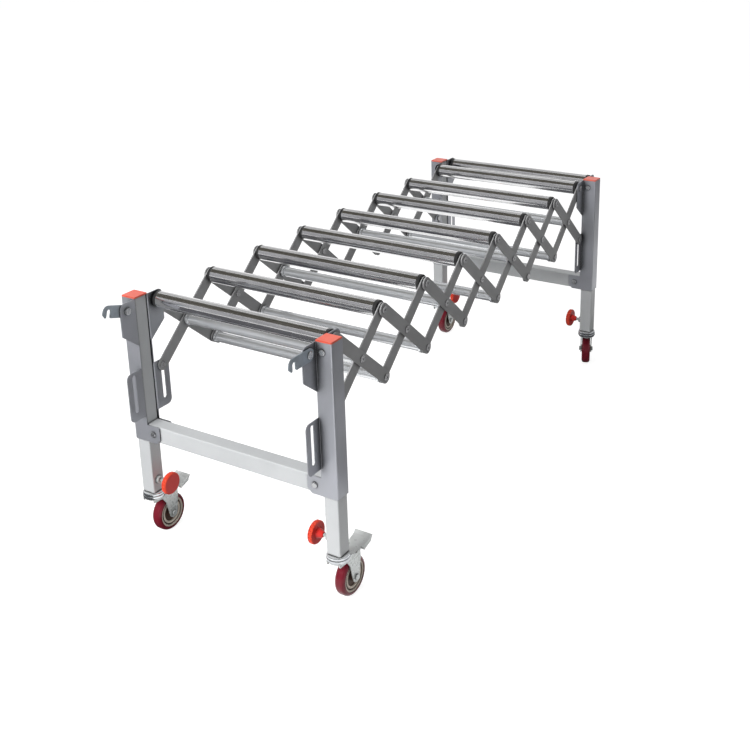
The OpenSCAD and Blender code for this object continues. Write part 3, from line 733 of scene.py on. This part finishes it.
@dataclass
class Casters:
    """The casters: sliding legs with their races, forks, wheels and brake pedals."""

    grooves: Sequence[Band] = ((11.2 * MM, 22.9 * MM), (28.1 * MM, 31.9 * MM))
    cup_bottom: float = 108.0 * MM
    race_bottom: float = 116.3 * MM
    race_top: float = 123.2 * MM
    tread_length: float = 34.3 * MM
    tread_half: float = 15.0 * MM
    tread_spread: float = 6.0 * MM

    def widen_tread(self, name: str) -> None:
        """Stand a pedal with a broader tread in place of the plain one.

        Args:
            name: The pedal's node, already dressed.
        """
        low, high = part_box(name)
        middle = (low.x + high.x) / 2
        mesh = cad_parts[name].data.copy()
        mesh.name = name + "_tread"
        for vertex in mesh.vertices:
            off = vertex.co.x - middle
            if vertex.co.y > high.y - self.tread_length and abs(off) > self.tread_half:
                vertex.co.x += math.copysign(self.tread_spread, off)
        piece = put(name + "_tread", mesh)
        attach(piece, name)
        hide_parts(name)
        LOG.info("widened the tread of %s", name)

    def dress(self) -> None:
        """Dress the casters' nodes."""
        for name in names("caster_fork"):
            SolidNode(name).dress(ZINC, [(lambda f: f.middle.z > self.cup_bottom, CUP_ZINC)])
        for name in names("inner_leg"):
            SolidNode(name).dress(
                TUBE_PAINT, [(lambda f: self.race_bottom < f.middle.z < self.race_top, CUP_ZINC)]
            )
        for name in names("brake_pedal"):
            SolidNode(name).dress(PEDAL_ZINC)
            self.widen_tread(name)
        for name in names("caster_tyre"):
            SolidNode(name).dress(TYRE)
        for name in names("caster_hub"):
            low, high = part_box(name)
            middle = (low + high) / 2

            def in_groove(facet: Facet, centre: Vector = middle) -> bool:
                """Say whether a face lies in a ring groove.

                Args:
                    facet: The face.
                    centre: The wheel's centre.

                Returns:
                    True if it does.
                """
                radius = math.hypot(
                    math.hypot(facet.middle.x - centre.x, facet.middle.y - centre.y),
                    facet.middle.z - centre.z,
                )
                return any(inner < radius < outer for inner, outer in self.grooves)

            # The grooves take the dark brown painted shade.
            SolidNode(name).dress(HUB_PLASTIC, [(in_groove, HUB_GROOVE_SHADE)])


@dataclass
class CouplingHooks:
    """The hooks that couple one stand to the next."""

    def dress(self) -> None:
        """Dress the hooks."""
        for name in names("coupling_hook"):
            SolidNode(name).dress(HOOK_ZINC)


@dataclass
class PhotoCamera:
    """The camera, which looks along the stand from its hooked end."""

    azimuth: float = math.radians(31.294)
    pitch: float = math.radians(18.014)
    roll: float = math.radians(-1.135)
    place: Place = (1.42986, -2.29216, 1.45812)
    focal_px: float = 1098.8
    centre_px: Tuple[float, float] = (407.0, 240.0)
    frame_px: float = 750.0
    sensor_mm: float = 36.0
    sight: float = 200.0

    def build(self) -> None:
        """Make the camera and hand it to the scene."""
        ahead = Vector((
            -math.sin(self.azimuth) * math.cos(self.pitch),
            math.cos(self.azimuth) * math.cos(self.pitch),
            -math.sin(self.pitch),
        ))
        level = Vector((math.cos(self.azimuth), math.sin(self.azimuth), 0.0))
        upright = level.cross(ahead)
        side = math.cos(self.roll) * level + math.sin(self.roll) * upright
        up = math.cos(self.roll) * upright - math.sin(self.roll) * level
        data = bpy.data.cameras.new("photo_camera")
        data.sensor_width = self.sensor_mm
        data.lens = self.focal_px / self.frame_px * self.sensor_mm
        data.shift_x = 0.5 - self.centre_px[0] / self.frame_px
        data.shift_y = self.centre_px[1] / self.frame_px - 0.5
        data.clip_end = self.sight
        camera = put("photo_camera", data)
        turn = Matrix((side, up, -ahead)).transposed().to_4x4()
        camera.matrix_world = Matrix.Translation(self.place) @ turn
        bpy.context.scene.camera = camera
        LOG.info("camera placed")


@dataclass(frozen=True)
class Card:
    """A plain card that only mirror-like metal sees."""

    name: str
    place: Place
    size: Tuple[float, float]
    dark: Colour
    pale: Colour
    tilt: float = 0.0
    cloud: float = 0.5


@dataclass
class Studio:
    """The pale floor, the soft lamps and the cards that the bright metal mirrors."""

    floor_side: float = 120.0
    floor_tone: float = 0.42
    floor_shown_tone: float = 0.40
    floor_glow: float = 0.87
    floor_rough: float = 0.9
    sky: float = 0.33
    key_watts: float = 150.0
    key_place: Place = (-0.5, -3.8, 2.3)
    top_watts: float = 30.0
    top_place: Place = (-0.4, 0.2, 4.2)
    lamp_side: float = 1.8
    aim: Place = (0.0, 0.0, 0.4)
    cards: Sequence[Card] = (
        Card(
            "card_over", (0.0, -3.25, 8.0), (26.0, 9.5),
            (0.07, 0.066, 0.055), (0.16, 0.152, 0.135),
        ),
        Card(
            "card_back", (0.0, 6.8, 8.0), (26.0, 9.2),
            (0.36, 0.36, 0.36), (0.78, 0.78, 0.78),
        ),
        Card(
            "card_front", (0.0, -9.0, 4.0), (26.0, 8.2),
            (0.24, 0.24, 0.25), (0.64, 0.64, 0.66), tilt=90.0,
        ),
        Card(
            "card_low", (-3.58, -1.9, 0.003), (6.86, 3.5),
            (0.07, 0.07, 0.08), (0.16, 0.16, 0.17),
        ),
        Card(
            "card_under", (0.28, 0.41, 0.002), (0.86, 1.38),
            (0.08, 0.08, 0.085), (0.14, 0.14, 0.15),
        ),
        Card(
            "card_side", (4.9, 2.6, 0.003), (8.0, 8.0),
            (0.08, 0.08, 0.085), (0.14, 0.14, 0.15),
        ),
    )

    def build(self) -> None:
        """Make the floor, the world, the lamps and the cards."""
        self.world()
        self.floor()
        self.lamp("key_lamp", self.key_place, self.key_watts)
        self.lamp("top_lamp", self.top_place, self.top_watts)
        for card in self.cards:
            self.card(card)
        LOG.info("studio built")

    @staticmethod
    def seen_directly(tree: bpy.types.NodeTree) -> Socket:
        """Give 1 for camera, glossy and transmission rays and 0 for the rest.

        Args:
            tree: The node tree to add to.

        Returns:
            The value socket.
        """
        path = tree.nodes.new("ShaderNodeLightPath")
        most = None
        for name in ("Is Camera Ray", "Is Glossy Ray", "Is Transmission Ray"):
            if most is None:
                most = path.outputs[name]
                continue
            node = tree.nodes.new("ShaderNodeMath")
            node.operation = "MAXIMUM"
            tree.links.new(most, node.inputs[0])
            tree.links.new(path.outputs[name], node.inputs[1])
            most = node.outputs["Value"]
        return most

    def world(self) -> None:
        """Make a white surround that lights the stand evenly."""
        world = bpy.data.worlds.new("studio_surround")
        world.use_nodes = True
        tree = world.node_tree
        out = tree.nodes["World Output"]
        lit = tree.nodes["Background"]
        lit.inputs["Color"].default_value = WHITE
        lit.inputs["Strength"].default_value = self.sky
        shown = tree.nodes.new("ShaderNodeBackground")
        shown.inputs["Color"].default_value = WHITE
        mix = tree.nodes.new("ShaderNodeMixShader")
        tree.links.new(self.seen_directly(tree), mix.inputs["Fac"])
        tree.links.new(lit.outputs[0], mix.inputs[1])
        tree.links.new(shown.outputs[0], mix.inputs[2])
        tree.links.new(mix.outputs[0], out.inputs["Surface"])
        bpy.context.scene.world = world

    def floor(self) -> None:
        """Make a wide pale floor that shows white and keeps a soft shadow."""
        floor = put("floor", rectangle("floor", self.floor_side, self.floor_side))
        sheet = NodeSheet("pale_floor")
        shader = sheet.shader
        shader.inputs["Base Color"].default_value = (*[self.floor_tone] * 3, 1.0)
        shader.inputs["Roughness"].default_value = self.floor_rough
        shader.inputs["Specular IOR Level"].default_value = 0.0
        shown = sheet.add("ShaderNodeBsdfDiffuse")
        shown.inputs["Color"].default_value = (*[self.floor_shown_tone] * 3, 1.0)
        glow = sheet.add("ShaderNodeEmission")
        glow.inputs["Strength"].default_value = self.floor_glow
        both = sheet.add("ShaderNodeAddShader")
        mix = sheet.add("ShaderNodeMixShader")
        sheet.join(shown.outputs[0], both.inputs[0])
        sheet.join(glow.outputs[0], both.inputs[1])
        sheet.join(self.seen_directly(sheet.tree), mix.inputs["Fac"])
        sheet.join(shader.outputs[0], mix.inputs[1])
        sheet.join(both.outputs[0], mix.inputs[2])
        sheet.join(mix.outputs[0], sheet.tree.nodes["Material Output"].inputs["Surface"])
        floor.data.materials.append(sheet.material)

    def lamp(self, name: str, place: Place, watts: float) -> None:
        """Hang a soft square lamp that looks at the stand.

        Args:
            name: The lamp's name.
            place: Where it hangs.
            watts: Its power.
        """
        data = bpy.data.lights.new(name, "AREA")
        data.shape = "SQUARE"
        data.size = self.lamp_side
        data.energy = watts
        lamp = put(name, data)
        lamp.location = place
        lamp.visible_glossy = False
        way = Vector(self.aim) - Vector(place)
        lamp.rotation_euler = way.to_track_quat("-Z", "Y").to_euler()

    @staticmethod
    def card(card: Card) -> None:
        """Hang a card that shows in glossy reflections alone.

        Args:
            card: The card's place, size and tones.
        """
        mesh = rectangle(card.name, *card.size)
        sheet = NodeSheet(card.name + "_cloth")
        cloud = sheet.noise(sheet.place(Grain.EVEN.value), card.cloud, CARD_DETAIL)
        tone = sheet.blend(sheet.spread(cloud, CARD_BAND), card.dark, card.pale)
        glow = sheet.add("ShaderNodeEmission")
        sheet.join(tone, glow.inputs["Color"])
        sheet.join(glow.outputs[0], sheet.tree.nodes["Material Output"].inputs["Surface"])
        mesh.materials.append(sheet.material)
        hung = put(card.name, mesh)
        hung.location = card.place
        hung.rotation_euler = (math.radians(card.tilt), 0.0, 0.0)
        hung.visible_camera = False
        hung.visible_diffuse = False
        hung.visible_shadow = False
        hung.visible_transmission = False


def main() -> None:
    """Build the looks in order."""
    logging.basicConfig(level=logging.INFO, format="%(message)s")
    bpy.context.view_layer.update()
    PhotoCamera().build()
    Studio().build()
    for assembly in (
        EndFrames(), ScissorLinkage(), RollerBed(), LegFittings(), Casters(), CouplingHooks(),
    ):
        assembly.dress()
        LOG.info("finished %s", type(assembly).__name__)
    bpy.context.scene.view_settings.view_transform = "Standard"


if __name__ == "__main__":
    main()
